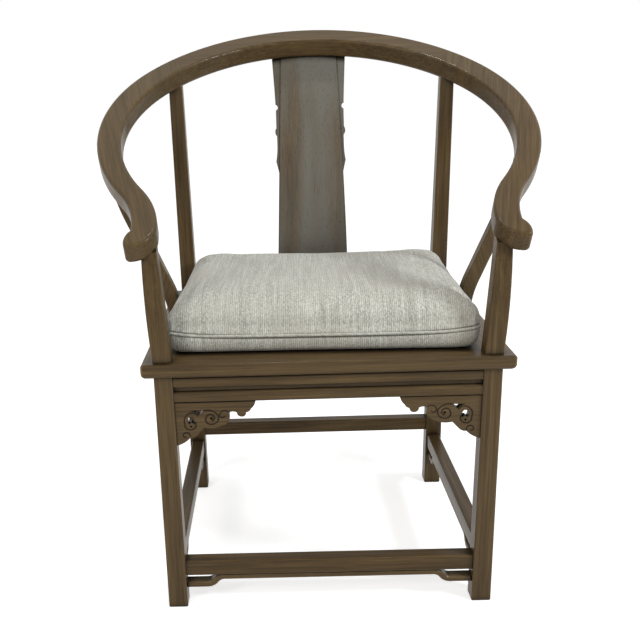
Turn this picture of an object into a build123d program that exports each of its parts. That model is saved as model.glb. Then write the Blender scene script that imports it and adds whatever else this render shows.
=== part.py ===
"""Horseshoe-back armchair in the East Asian manner.

One curved crest rail runs over the back and down both sides to the handgrips. It is carried by the
two front posts and the two rear posts, which are the legs carried up through the seat, by two
sickle-shaped side posts and by a bent back splat. Everything below the seat is rails and stretchers
tenoned between four square legs.

X is across the chair, Y runs from front to back, Z is up. The origin lies on the floor, in the middle
of the chair's depth. The left side is at -X. All sizes are in millimetres.
"""
from build123d import *
import os
from math import atan, cos, degrees, radians, sin, sqrt, tan

os.makedirs("parts", exist_ok=True)

# ---------------------------------------------------------------- driving dimensions
# Legs: square, their inner and front faces plumb, tapering a little towards the seat
front_y = -297.0              # front face of the front legs
leg_spacing = 471.0           # from there back to the front face of the rear legs
front_leg_inside = 252.5      # half the clear width between the front legs
leg_splay = 3.0               # how much further in each rear leg stands
front_leg_foot = 34.0         # side of the square at the floor
front_leg_neck = 30.5         # side of the square where it meets the seat
rear_leg_foot = 35.0
rear_leg_neck = 32.0
leg_edge = 2.5                # rounding of the legs' long edges
foot_edge = 2.0               # bevel under the feet

# Front posts: the front legs above the seat, bowed outward and thinned towards the handgrip
front_bow_rise = 115.0        # from the seat to the middle of the bow
front_bow_shift = 8.0         # how far the inner face has moved outward there
front_bow_lean = 5.0          # how far the front face has moved back there
front_bow_side = 29.0
front_top_shift = 14.0
front_top_lean = 17.0
front_top_side = 23.5
rear_top_side = 26.0          # of the rear posts, the rear legs above the seat
post_overrun = 12.0           # posts are made this far past the rail's middle, then scribed to it

# Seat frame: four mitred members with a rounded lower edge, and a panel let into them
seat_top = 460.0
seat_thick = 25.0
seat_side_overhang = 19.0     # beyond the front legs
seat_front_overhang = 9.0
seat_back_overhang = 9.0
seat_member = 62.0            # width of a member
seat_lower_edge = 11.0
seat_upper_edge = 3.0
panel_thick = 12.0
panel_play = 0.5              # room for the panel to swell
panel_tongue = 7.0            # how far the panel's tongue enters the frame
tongue_thick = 5.0
batten_width = 34.0
batten_place = 110.0          # from the centre line to the middle of a batten
batten_tenon = 14.0
batten_tenon_thick = 6.0

# Twin rails under the seat, one above the other with a narrow recess between
apron_upper = 19.5            # height of the upper rail
apron_recess = 6.5
apron_lower = 19.5
apron_depth = 22.0
apron_setback = 3.0           # behind the legs' outer faces
apron_edge = 4.5
recess_setback = 6.0          # of the web in the recess, behind the rails' faces

# Corner brackets, sawn and pierced in a cloud-scroll outline
bracket_thick = 13.0
bracket_setback = 4.0
bracket_length = 134.0
bracket_drop = 76.0
bracket_tongue_thick = 5.0
bracket_tongue_height = 4.0
bracket_tongue_inset = 19.0   # the tongue stops this far short of both ends
big_eye_radius = 2.0          # round holes at the middles of the scrolls
small_eye_radius = 1.7
groove_width = 1.6            # carved lines that follow the scrolls
groove_depth = 1.2

# Stretchers, each pair higher than the one before it, with a humpback rail under three of them
stretcher_height = 29.0
stretcher_depth = 26.0
stretcher_edge = 2.5
stretcher_setback = 6.0       # behind the legs' outer faces
front_stretcher_top = 90.0
side_stretcher_top = 121.0
rear_stretcher_top = 160.0
hump_thick = 11.0
hump_depth = 21.0
hump_drop = 15.0              # from the raised middle down to the ends
hump_end = 37.0               # length of the level stretch beside a leg
hump_step = 30.0              # length of the curved step
hump_edge = 1.8

# Tenons of the rails and stretchers
tenon_length = 10.0
tenon_thick = 8.0
tenon_shoulder = 4.0          # above and below a tenon
hump_shoulder = 2.0           # the same on the thinner humpback rails
joint_gap = 0.15              # play round a tenon

# Crest rail: sawn from plank in one sloping plane, its edges rounded
rail_slope = 28.4             # degrees
rail_rise = 183.0             # middle of the rail above the seat, over the front legs' front face
rail_width = 47.0             # at the crest
neck_width = 41.0             # at the arm's end, over the front post
rail_thick = 38.0
rail_upper_edge = 6.0
rail_lower_edge = 9.0
crest_reach = 660.0           # from the front legs' front face to the crest, along the slope
crest_radius = 383.0
crest_turn = 50.5             # degrees of arc on each side
shoulder_turn = 73.1
arm_end_outset = 6.0          # the arm's middle line ends outside the front post's middle
arm_end_setback = 4.0         # and behind it
nose_radius = 43.5            # round the front of the handgrip
nose_turn = 95.0
grip_hollow_radius = 10.0     # behind its outward hook
grip_hollow_turn = 50.0
grip_bulge = 4.5
grip_corner = 7.0
scarf_place = 37.0            # degrees from the middle of the crest to the middle of a scarf
scarf_half = 6.0              # degrees, half the length of the overlap
wedge_side = 9.0
wedge_length = 38.0
rail_scribe = 8.0             # how far a post is scribed up round the rail's lower edge

# Side posts: sickle-shaped, standing on the seat's side members
side_post = 25.0
side_post_back = 247.0        # middle of a side post, behind the front legs' front face
side_post_foot_inset = 34.0   # middle of its foot, in from the seat's side
side_post_turn = 23.1         # degrees it leans out between its two bends
side_post_waist = 183.0       # radius of the lower bend
side_post_belly = 372.0       # radius of the upper bend
side_post_edge = 3.0
post_tenon = 13.0             # side of the square tenons of all posts
post_tenon_length = 13.0

# Back splat: bent board, wider at the foot, with a carved flange on each edge of its upper half
splat_thick = 12.0
splat_foot_width = 151.0
splat_head_width = 116.0
splat_foot_back = 490.0       # middle of the board's foot, behind the front legs' front face
splat_head_forward = 7.5      # its head meets the rail in front of the rail's middle
splat_foot_bend = 15.6        # degrees between the board's foot and the chord from foot to head
splat_head_bend = 7.5
splat_edge = 1.2
splat_tongue = 9.0            # into the seat and into the crest
splat_tongue_thick = 6.0
splat_tongue_inset = 10.0     # the tongue stops this far short of the board's edges
flange_thick = 8.0
flange_reach = 18.0           # of the flange's head beyond the board's edge

# Loose seat cushion
cushion_clear = 0.3
cushion_front_clear = 5.0     # behind the front legs
cushion_side_clear = 2.5      # beside the feet of the side posts
cushion_back_clear = 11.0     # in front of the rear legs
cushion_taper = 4.0           # how much nearer each side is at the back
cushion_thick = 92.0
cushion_corner = 32.0
cushion_crown = 28.0
cushion_under = 8.0

# ---------------------------------------------------------------- places that follow from them
rear_y = front_y + leg_spacing
rear_leg_inside = front_leg_inside - leg_splay
seat_half_width = front_leg_inside + front_leg_neck + seat_side_overhang
seat_underside = seat_top - seat_thick
seat_front_y = front_y - seat_front_overhang
seat_back_y = rear_y + rear_leg_neck + seat_back_overhang
seat_middle_y = (seat_front_y + seat_back_y) / 2
seat_length = seat_back_y - seat_front_y
opening_half = seat_half_width - seat_member
opening_length = seat_length - 2 * seat_member
apron_upper_z = seat_underside - apron_upper
apron_lower_z = apron_upper_z - apron_recess - apron_lower
front_stretcher_z = front_stretcher_top - stretcher_height
side_stretcher_z = side_stretcher_top - stretcher_height
rear_stretcher_z = rear_stretcher_top - stretcher_height
front_hump_z = front_stretcher_z - hump_drop - hump_thick
side_hump_z = side_stretcher_z - hump_drop - hump_thick

# Middle lines of the members between the legs
front_apron_y = front_y + apron_setback + apron_depth / 2
back_apron_y = rear_y + rear_leg_neck - apron_setback - apron_depth / 2
side_apron_x = rear_leg_inside + rear_leg_neck - apron_setback - apron_depth / 2
front_stretcher_y = front_y + stretcher_setback + stretcher_depth / 2
back_stretcher_y = rear_y + rear_leg_foot - stretcher_setback - stretcher_depth / 2
side_stretcher_x = rear_leg_inside + rear_leg_foot - stretcher_setback - stretcher_depth / 2
side_post_y = front_y + side_post_back

# Crest rail's sloping plane and the other planes along it
rail_front_height = seat_top + rail_rise
rail_plane = Plane(
    origin=(0, front_y, rail_front_height),
    x_dir=(1, 0, 0),
    z_dir=(0, -sin(radians(rail_slope)), cos(radians(rail_slope))),
)
rail_normal = Axis(rail_plane.origin, rail_plane.z_dir)
rail_underside = rail_plane.offset(-rail_thick / 2)
scribe_plane = rail_plane.offset(rail_scribe - rail_thick / 2)
scarf_centre = crest_reach - crest_radius

# The arm ends over the front post, heading straight forward
front_head_x = front_leg_inside + front_top_shift + front_top_side / 2
front_head_y = front_y + front_top_lean + front_top_side / 2
arm_end_x = front_head_x + arm_end_outset
arm_end_y = (front_head_y - front_y) / cos(radians(rail_slope)) + arm_end_setback
arm_turn = crest_turn + shoulder_turn - 90
crest_sin = sin(radians(crest_turn))
crest_cos = cos(radians(crest_turn))
widest_sin = sin(radians(crest_turn + shoulder_turn))
widest_cos = cos(radians(crest_turn + shoulder_turn))
divisor = (widest_sin - crest_sin) * widest_cos - (widest_sin - 1) * (widest_cos - crest_cos)


def bend_radii(shift, end_x):
    """Radii of the shoulder and the arm along a line of the rail, shift out from its middle at the crest.

    After the crest's circle, two arcs bring the line to end_x at the arm's end.
    """
    start_radius = crest_radius + shift
    across = end_x - start_radius * crest_sin
    along = arm_end_y - scarf_centre - start_radius * crest_cos
    shoulder = (across * widest_cos - along * (widest_sin - 1)) / divisor
    arm = (along * (widest_sin - crest_sin) - across * (widest_cos - crest_cos)) / divisor
    return shoulder, arm


def rail_height(y):
    """Height of the middle of the crest rail above a given y."""
    return rail_front_height + (y - front_y) * tan(radians(rail_slope))


def underside_height(y):
    """Height of the crest rail's flat underside above a given y."""
    return rail_height(y) - rail_thick / 2 / cos(radians(rail_slope))


def rail_middle_x(y, radius, turned):
    """Where the rail's middle line is at a given y, on the arc of this radius that starts after a turn."""
    inward = crest_radius - radius
    centre_x = inward * sin(radians(turned))
    centre_y = scarf_centre + inward * cos(radians(turned))
    return centre_x + sqrt(radius**2 - ((y - front_y) / cos(radians(rail_slope)) - centre_y) ** 2)


shoulder_radius = bend_radii(0, arm_end_x)[0]
rear_head_x = rail_middle_x(rear_y + rear_top_side / 2, crest_radius, 0)
side_post_foot_x = seat_half_width - side_post_foot_inset
side_post_head_x = rail_middle_x(side_post_y, shoulder_radius, crest_turn)

# Splat: one bend and a straight upper length between its foot and the underside of the crest
splat_foot = Vector(0, front_y + splat_foot_back, seat_underside + panel_thick)
splat_head = rail_underside.from_local_coords(Vector(0, crest_reach - splat_head_forward, 0))
splat_chord = splat_head - splat_foot
chord_lean = degrees(atan(splat_chord.Y / splat_chord.Z))
foot_lean = chord_lean - splat_foot_bend
head_lean = chord_lean + splat_head_bend
straight_share = cos(radians(splat_head_bend)) - cos(radians(splat_foot_bend))
straight_share /= sin(radians(splat_head_bend))
bend_share = sin(radians(splat_foot_bend)) + sin(radians(splat_head_bend))
splat_radius = splat_chord.length / (bend_share + straight_share * cos(radians(splat_head_bend)))

# Underside, height and shoulder of each member that is tenoned into the legs
aprons = [(apron_upper_z, apron_upper, tenon_shoulder), (apron_lower_z, apron_lower, tenon_shoulder)]
front_stretcher_size = (front_stretcher_z, stretcher_height, tenon_shoulder)
side_stretcher_size = (side_stretcher_z, stretcher_height, tenon_shoulder)
rear_stretcher_size = (rear_stretcher_z, stretcher_height, tenon_shoulder)
front_hump_size = (front_hump_z, hump_thick, hump_shoulder)
side_hump_size = (side_hump_z, hump_thick, hump_shoulder)

# Height, inner face, front face and side of the squares up the legs and the posts
front_leg_sections = [
    (0, front_leg_inside, front_y, front_leg_foot),
    (seat_top, front_leg_inside, front_y, front_leg_neck),
]
rear_leg_sections = [
    (0, rear_leg_inside, rear_y, rear_leg_foot),
    (seat_top, rear_leg_inside, rear_y, rear_leg_neck),
]
front_post_sections = [
    (seat_top, front_leg_inside, front_y, front_leg_neck),
    (
        seat_top + front_bow_rise,
        front_leg_inside + front_bow_shift,
        front_y + front_bow_lean,
        front_bow_side,
    ),
    (
        rail_front_height + post_overrun,
        front_leg_inside + front_top_shift,
        front_y + front_top_lean,
        front_top_side,
    ),
]
rear_post_top = (rail_height(rear_y) + post_overrun, rear_head_x - rear_top_side / 2, rear_y, rear_top_side)
rear_leg_whole = rear_leg_sections + [rear_post_top]


def save(part, name):
    """Label a finished piece and write its file."""
    part.label = name
    export_step(part, f"parts/{name}.step")


def save_pair(part, name):
    """Write a right-hand piece and its mirror image."""
    save(part, f"{name}_right")
    with BuildPart() as left:
        mirror(part, about=Plane.YZ)
    save(left.part, f"{name}_left")


def both_sides(*parts):
    """Right-hand solids together with their mirror images."""
    with BuildPart() as pair:
        for part in parts:
            add(part)
        mirror(pair.part, about=Plane.YZ)
    return pair.part


# ---------------------------------------------------------------- crest rail, before it is cut up
def rail_side(shift, end_x):
    """Long edge of the rail's outline from the crest, shift out from its middle, to the arm's end."""
    shoulder_bend, arm_bend = bend_radii(shift, end_x)
    crest = JernArc((0, crest_reach + shift), (1, 0), crest_radius + shift, -crest_turn)
    shoulder = JernArc(crest @ 1, crest % 1, shoulder_bend, -shoulder_turn)
    return JernArc(shoulder @ 1, shoulder % 1, arm_bend, arm_turn)


with BuildPart() as rail:
    with BuildSketch(rail_underside):
        with BuildLine():
            outer = rail_side(rail_width / 2, arm_end_x + neck_width / 2)
            inner = rail_side(-rail_width / 2, arm_end_x - neck_width / 2)
            hollow = JernArc(outer @ 1, outer % 1, grip_hollow_radius, grip_hollow_turn)
            nose = JernArc(inner @ 1, inner % 1, nose_radius, nose_turn)
            tip = (hollow @ 1 + nose @ 1) / 2 + Vector(grip_bulge, 0)
            ThreePointArc(hollow @ 1, tip, nose @ 1)
            mirror(about=Plane.YZ)
        make_face()
    extrude(amount=rail_thick)
    fillet(rail.edges().filter_by(rail_normal).sort_by(Axis.Y)[:4], grip_corner)
    fillet(rail.faces().sort_by(rail_normal)[-1].edges(), rail_upper_edge)
    fillet(rail.faces().sort_by(rail_normal)[0].edges(), rail_lower_edge)


# ---------------------------------------------------------------- legs, with the posts above them
def tapered_square(sections):
    """Straight-sided square post through sections given as height, inner x, front y and side."""
    with BuildPart() as post:
        for height, inside, front, side in sections:
            with BuildSketch(Plane((inside + side / 2, front + side / 2, height))):
                Rectangle(side, side)
        loft(ruled=True)
        corners = post.edges().filter_by(lambda edge: edge.length > seat_top / 2)
        fillet(corners, leg_edge)
        chamfer(post.faces().sort_by(Axis.Z)[0].edges(), foot_edge)
    return post.part


def bowed_square(sections):
    """Square post that bows through sections given as height, inner x, front y and side."""
    with BuildPart() as post:
        for height, inside, front, side in sections:
            with BuildSketch(Plane((inside + side / 2, front + side / 2, height))):
                RectangleRounded(side, side, leg_edge)
        loft()
    return post.part


def cut_to_rail():
    """Scribe the top of a post or board to the crest rail's underside."""
    split(bisect_by=scribe_plane, keep=Keep.BOTTOM)
    add(rail.part, mode=Mode.SUBTRACT)


def head_tenon(x, y, gap=0.0, mode=Mode.ADD):
    """Square tenon standing up from a post into the crest rail, or its mortise."""
    with Locations((x, y, underside_height(y) - post_tenon)):
        Box(
            post_tenon + 2 * gap,
            post_tenon + 2 * gap,
            post_tenon + post_tenon_length + gap,
            align=(Align.CENTER, Align.CENTER, Align.MIN),
            mode=mode,
        )


def cross_mortises(members, inside, y):
    """Mortises in a leg's inner face for members given as underside, height and shoulder."""
    for bottom, height, shoulder in members:
        with Locations((inside, y, bottom + shoulder - joint_gap)):
            Box(
                tenon_length + joint_gap,
                tenon_thick + 2 * joint_gap,
                height - 2 * shoulder + 2 * joint_gap,
                align=(Align.MIN, Align.CENTER, Align.MIN),
                mode=Mode.SUBTRACT,
            )


def side_mortises(members, x, mouth_y, end_y):
    """Mortises in a leg for members that run from front to back, from mouth_y in to end_y."""
    for bottom, height, shoulder in members:
        with Locations((x, (mouth_y + end_y) / 2, bottom + shoulder - joint_gap)):
            Box(
                tenon_thick + 2 * joint_gap,
                abs(mouth_y - end_y),
                height - 2 * shoulder + 2 * joint_gap,
                align=(Align.CENTER, Align.CENTER, Align.MIN),
                mode=Mode.SUBTRACT,
            )


def front_leg_back(height):
    """Where the front leg's tapering back face is, at a height below the seat."""
    return front_y + front_leg_foot + (front_leg_neck - front_leg_foot) * height / seat_top


apron_shoulder_y = front_leg_back(seat_underside)
side_shoulder_y = front_leg_back(side_stretcher_top)
mortise_depth = tenon_length + joint_gap
front_leg_blank = tapered_square(front_leg_sections)
rear_leg_blank = tapered_square(rear_leg_sections)

with BuildPart() as front_leg:
    add(front_leg_blank)
    add(bowed_square(front_post_sections))
    cut_to_rail()
    head_tenon(front_head_x, front_head_y)
    cross_mortises(aprons, front_leg_inside, front_apron_y)
    cross_mortises([front_stretcher_size, front_hump_size], front_leg_inside, front_stretcher_y)
    side_mortises(aprons, side_apron_x, front_y + front_leg_foot, apron_shoulder_y - mortise_depth)
    side_mortises(
        [side_stretcher_size, side_hump_size],
        side_stretcher_x,
        front_y + front_leg_foot,
        side_shoulder_y - mortise_depth,
    )
save_pair(front_leg.part, "front_leg")

with BuildPart() as rear_leg:
    add(tapered_square(rear_leg_whole))
    cut_to_rail()
    head_tenon(rear_head_x, rear_y + rear_top_side / 2)
    cross_mortises(aprons, rear_leg_inside, back_apron_y)
    cross_mortises([rear_stretcher_size], rear_leg_inside, back_stretcher_y)
    side_mortises(aprons, side_apron_x, rear_y, rear_y + mortise_depth)
    side_mortises([side_stretcher_size, side_hump_size], side_stretcher_x, rear_y, rear_y + mortise_depth)
save_pair(rear_leg.part, "rear_leg")


# ---------------------------------------------------------------- side posts
def foot_tenon(gap=0.0, mode=Mode.ADD):
    """Square tenon below a side post, or its mortise in the seat frame."""
    with Locations((side_post_foot_x, side_post_y, seat_top + post_tenon)):
        Box(
            post_tenon + 2 * gap,
            post_tenon + 2 * gap,
            post_tenon + post_tenon_length + gap,
            align=(Align.CENTER, Align.CENTER, Align.MAX),
            mode=mode,
        )


with BuildPart() as side_post_right:
    with BuildSketch(Plane.XZ.offset(-side_post_y - side_post / 2)):
        with BuildLine() as bend:
            sweep_out = side_post_head_x - side_post_foot_x
            bends_out = (side_post_waist + side_post_belly) * (1 - cos(radians(side_post_turn)))
            slope_length = (sweep_out - bends_out) / sin(radians(side_post_turn))
            waist = JernArc((side_post_foot_x, seat_top), (0, 1), side_post_waist, -side_post_turn)
            slope = Line(waist @ 1, waist @ 1 + (waist % 1) * slope_length)
            belly = JernArc(slope @ 1, slope % 1, side_post_belly, side_post_turn)
            Line(belly @ 1, belly @ 1 + (belly % 1) * rail_thick)
        trace(bend.line, line_width=side_post)
    extrude(amount=side_post)
    fillet(side_post_right.edges().filter_by(lambda edge: abs((edge % 0.5).Z) > 0.7), side_post_edge)
    cut_to_rail()
    head_tenon(side_post_head_x, side_post_y)
    foot_tenon()
save_pair(side_post_right.part, "side_post")


# ---------------------------------------------------------------- back splat and its flanges
def bent_slab(thick):
    """Slab bent to the splat's curve, wider than the splat with its flanges."""
    half_width = splat_foot_width / 2 + flange_reach
    with BuildPart() as slab:
        with BuildSketch(Plane(origin=(-half_width, 0, 0), x_dir=(0, 1, 0), z_dir=(1, 0, 0))):
            with BuildLine() as side_view:
                foot = (splat_foot.Y, splat_foot.Z)
                upward = (sin(radians(foot_lean)), cos(radians(foot_lean)))
                bend = JernArc(foot, upward, splat_radius, foot_lean - head_lean)
                straight = splat_radius * straight_share + rail_thick
                Line(bend @ 1, bend @ 1 + (bend % 1) * straight)
            trace(side_view.line, line_width=thick)
        extrude(amount=2 * half_width)
    return slab.part


def splat_half_width(height):
    """Half width of the splat board at a height."""
    rise = (height - seat_top) / (splat_head.Z - seat_top)
    return (splat_foot_width + rise * (splat_head_width - splat_foot_width)) / 2


behind_splat = Plane.XZ.offset(-front_y - crest_reach)


def splat_board(thick, inset, bottom, top_plane):
    """A length of the splat board, its long edges moved in by inset."""
    foot_height = splat_foot.Z
    head_height = splat_head.Z + rail_thick
    with BuildPart() as board:
        add(bent_slab(thick))
        with BuildSketch(behind_splat):
            with BuildLine():
                Polyline(
                    (-splat_half_width(foot_height) + inset, foot_height),
                    (splat_half_width(foot_height) - inset, foot_height),
                    (splat_half_width(head_height) - inset, head_height),
                    (-splat_half_width(head_height) + inset, head_height),
                    close=True,
                )
            make_face()
        extrude(amount=crest_reach, mode=Mode.INTERSECT)
        split(bisect_by=Plane.XY.offset(bottom), keep=Keep.TOP)
        split(bisect_by=top_plane, keep=Keep.BOTTOM)
    return board.part


def splat_tongues(gap):
    """Tongues of the splat at both ends, or with a gap the slots that take them."""
    return splat_board(
        splat_tongue_thick + 2 * gap,
        splat_tongue_inset - gap,
        seat_top - splat_tongue - gap,
        rail_underside.offset(splat_tongue + gap),
    )


with BuildPart() as back_splat:
    add(splat_board(splat_thick, 0, seat_top, scribe_plane))
    chamfer(back_splat.edges().filter_by(lambda edge: abs((edge % 0.5).Z) > 0.7), splat_edge)
    add(rail.part, mode=Mode.SUBTRACT)
    add(splat_tongues(0))
save(back_splat.part, "back_splat")


def beside_splat(drop, reach):
    """Point at a drop below the splat's head, at a reach out from the board's edge."""
    height = splat_head.Z - drop
    return splat_half_width(height) + reach, height


with BuildPart() as splat_flange_right:
    add(bent_slab(flange_thick))
    with BuildSketch(behind_splat):
        with BuildLine():
            over_inner = beside_splat(-rail_thick, 0)
            over_outer = beside_splat(-rail_thick, flange_reach)
            head = beside_splat(0, flange_reach)
            Line(over_outer, over_inner)
            Line(over_inner, beside_splat(233, 0))
            ThreePointArc(beside_splat(233, 0), beside_splat(221, 3), beside_splat(210, 6.3))
            ThreePointArc(beside_splat(210, 6.3), beside_splat(192, 4.5), beside_splat(173, 4.7))
            Line(beside_splat(173, 4.7), beside_splat(160, 5))
            ThreePointArc(beside_splat(160, 5), beside_splat(152, 8.9), beside_splat(144, 6.7))
            Line(beside_splat(144, 6.7), beside_splat(109, 8))
            ThreePointArc(beside_splat(109, 8), beside_splat(104, 4.2), beside_splat(98, 8.9))
            ThreePointArc(beside_splat(98, 8.9), beside_splat(49, 13.2), head)
            Line(head, over_outer)
        make_face()
    extrude(amount=crest_reach, mode=Mode.INTERSECT)
    cut_to_rail()
save_pair(splat_flange_right.part, "splat_flange")


# ---------------------------------------------------------------- seat frame
with BuildPart() as seat_ring:
    with BuildSketch(Plane.XY.offset(seat_underside)):
        with Locations((0, seat_middle_y)):
            Rectangle(2 * seat_half_width, seat_length)
            Rectangle(2 * opening_half, opening_length, mode=Mode.SUBTRACT)
    extrude(amount=seat_thick)
    fillet(seat_ring.faces().sort_by(Axis.Z)[0].outer_wire().edges(), seat_lower_edge)
    fillet(seat_ring.faces().sort_by(Axis.Z)[-1].outer_wire().edges(), seat_upper_edge)
    with Locations((0, seat_middle_y, seat_top - panel_thick / 2)):
        Box(
            2 * (opening_half + panel_tongue),
            opening_length + 2 * panel_tongue,
            tongue_thick + 2 * joint_gap,
            mode=Mode.SUBTRACT,
        )
    add(both_sides(front_leg_blank, rear_leg_blank), mode=Mode.SUBTRACT)
    with BuildPart(mode=Mode.PRIVATE) as post_mortise:
        foot_tenon(joint_gap)
    add(both_sides(post_mortise.part), mode=Mode.SUBTRACT)
    add(splat_tongues(joint_gap), mode=Mode.SUBTRACT)
    with Locations((batten_place, seat_middle_y), (-batten_place, seat_middle_y)):
        with Locations((0, 0, seat_underside + (seat_thick - panel_thick) / 2)):
            Box(
                batten_width - 2 * tenon_shoulder + 2 * joint_gap,
                opening_length + 2 * batten_tenon + 2 * joint_gap,
                batten_tenon_thick + 2 * joint_gap,
                mode=Mode.SUBTRACT,
            )


def mitre(corner_x, corner_y, toward):
    """Plane of the mitre through a corner of the seat frame, facing a direction."""
    return Plane(origin=(corner_x, corner_y, seat_underside), z_dir=toward)


front_right = mitre(seat_half_width, seat_front_y, (1, 1, 0))
front_left = mitre(-seat_half_width, seat_front_y, (-1, 1, 0))
back_right = mitre(seat_half_width, seat_back_y, (1, -1, 0))
back_left = mitre(-seat_half_width, seat_back_y, (-1, -1, 0))

with BuildPart() as seat_frame_front:
    add(seat_ring.part)
    split(bisect_by=front_right, keep=Keep.BOTTOM)
    split(bisect_by=front_left, keep=Keep.BOTTOM)
save(seat_frame_front.part, "seat_frame_front")

with BuildPart() as seat_frame_back:
    add(seat_ring.part)
    split(bisect_by=back_right, keep=Keep.BOTTOM)
    split(bisect_by=back_left, keep=Keep.BOTTOM)
save(seat_frame_back.part, "seat_frame_back")

with BuildPart() as seat_frame_right:
    add(seat_ring.part)
    split(bisect_by=front_right, keep=Keep.TOP)
    split(bisect_by=back_right, keep=Keep.TOP)
save_pair(seat_frame_right.part, "seat_frame")


# ---------------------------------------------------------------- seat panel and its battens
with BuildPart() as seat_panel:
    with Locations((0, seat_middle_y, seat_top - panel_thick / 2)):
        Box(2 * (opening_half - panel_play), opening_length - 2 * panel_play, panel_thick)
        Box(
            2 * (opening_half + panel_tongue - panel_play),
            opening_length + 2 * (panel_tongue - panel_play),
            tongue_thick,
        )
save(seat_panel.part, "seat_panel")

with BuildPart() as seat_batten_right:
    with Locations((batten_place, seat_middle_y, seat_underside + (seat_thick - panel_thick) / 2)):
        Box(batten_width, opening_length, seat_thick - panel_thick)
        Box(
            batten_width - 2 * tenon_shoulder,
            opening_length + 2 * batten_tenon,
            batten_tenon_thick,
        )
save_pair(seat_batten_right.part, "seat_batten")


# ---------------------------------------------------------------- twin rails under the seat
def cross_member(size, inside, y, depth, edge):
    """Rail across the chair between two legs, with a tenon at each end."""
    bottom, height, shoulder = size
    with BuildPart(Location((0, y, bottom + height / 2))) as member:
        Box(2 * inside, depth, height)
        fillet(member.edges().filter_by(Axis.X), edge)
        Box(2 * (inside + tenon_length), tenon_thick, height - 2 * shoulder)
    return member.part


def side_member(size, x, depth, edge, shoulder_y):
    """Rail from a front leg to a rear leg, cut to the front leg's taper, with a tenon at each end."""
    bottom, height, shoulder = size
    front_leg_middle = front_y + front_leg_neck / 2
    from_front = (Align.CENTER, Align.MIN, Align.CENTER)
    with BuildPart() as member:
        with Locations((x, front_leg_middle, bottom + height / 2)):
            Box(depth, rear_y - front_leg_middle, height, align=from_front)
        fillet(member.edges().filter_by(Axis.Y), edge)
        add(front_leg_blank, mode=Mode.SUBTRACT)
        with Locations((x, shoulder_y - tenon_length, bottom + height / 2)):
            Box(tenon_thick, rear_y - shoulder_y + 2 * tenon_length, height - 2 * shoulder, align=from_front)
    return member.part


recess_z = apron_upper_z - apron_recess
web_depth = apron_depth - 2 * recess_setback

for name, inside, y in (
    ("front", front_leg_inside, front_apron_y),
    ("back", rear_leg_inside, back_apron_y),
):
    with BuildPart() as upper_rail:
        add(cross_member(aprons[0], inside, y, apron_depth, apron_edge))
        with Locations((0, y, recess_z)):
            Box(2 * inside, web_depth, apron_recess, align=(Align.CENTER, Align.CENTER, Align.MIN))
    save(upper_rail.part, f"{name}_upper_rail")

with BuildPart() as side_upper_rail:
    add(side_member(aprons[0], side_apron_x, apron_depth, apron_edge, apron_shoulder_y))
    with Locations((side_apron_x, rear_y, recess_z)):
        web_length = rear_y - front_leg_back(recess_z)
        Box(web_depth, web_length, apron_recess, align=(Align.CENTER, Align.MAX, Align.MIN))
save_pair(side_upper_rail.part, "side_upper_rail")

save(cross_member(aprons[1], rear_leg_inside, back_apron_y, apron_depth, apron_edge), "back_lower_rail")
save_pair(side_member(aprons[1], side_apron_x, apron_depth, apron_edge, apron_shoulder_y), "side_lower_rail")


# ---------------------------------------------------------------- corner brackets
bracket_plane = Plane(
    origin=(front_leg_inside, front_y + bracket_setback + bracket_thick, apron_lower_z),
    x_dir=(-1, 0, 0),
    z_dir=(0, -1, 0),
)


def bracket_tongue(gap, mode):
    """Tongues along the brackets' upper edges, or the grooves that take them."""
    length = bracket_length - 2 * bracket_tongue_inset
    middle = front_leg_inside - bracket_length / 2
    y = front_y + bracket_setback + bracket_thick / 2
    with Locations((middle, y, apron_lower_z), (-middle, y, apron_lower_z)):
        Box(
            length + 2 * gap,
            bracket_tongue_thick + 2 * gap,
            2 * (bracket_tongue_height + gap),
            mode=mode,
        )


def on_bracket(along, down):
    """Place on the bracket, given as shares of its length from the leg and of its drop."""
    return along * bracket_length, down * bracket_drop


def scroll(*shares):
    """Chain of arcs, each from one given place through the next to the one after."""
    places = [on_bracket(along, down) for along, down in shares]
    for start, middle, end in zip(places[:-2:2], places[1:-1:2], places[2::2]):
        ThreePointArc(start, middle, end)


with BuildPart() as front_lower_rail:
    add(cross_member(aprons[1], front_leg_inside, front_apron_y, apron_depth, apron_edge))
    bracket_tongue(joint_gap, Mode.SUBTRACT)
save(front_lower_rail.part, "front_lower_rail")

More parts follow.
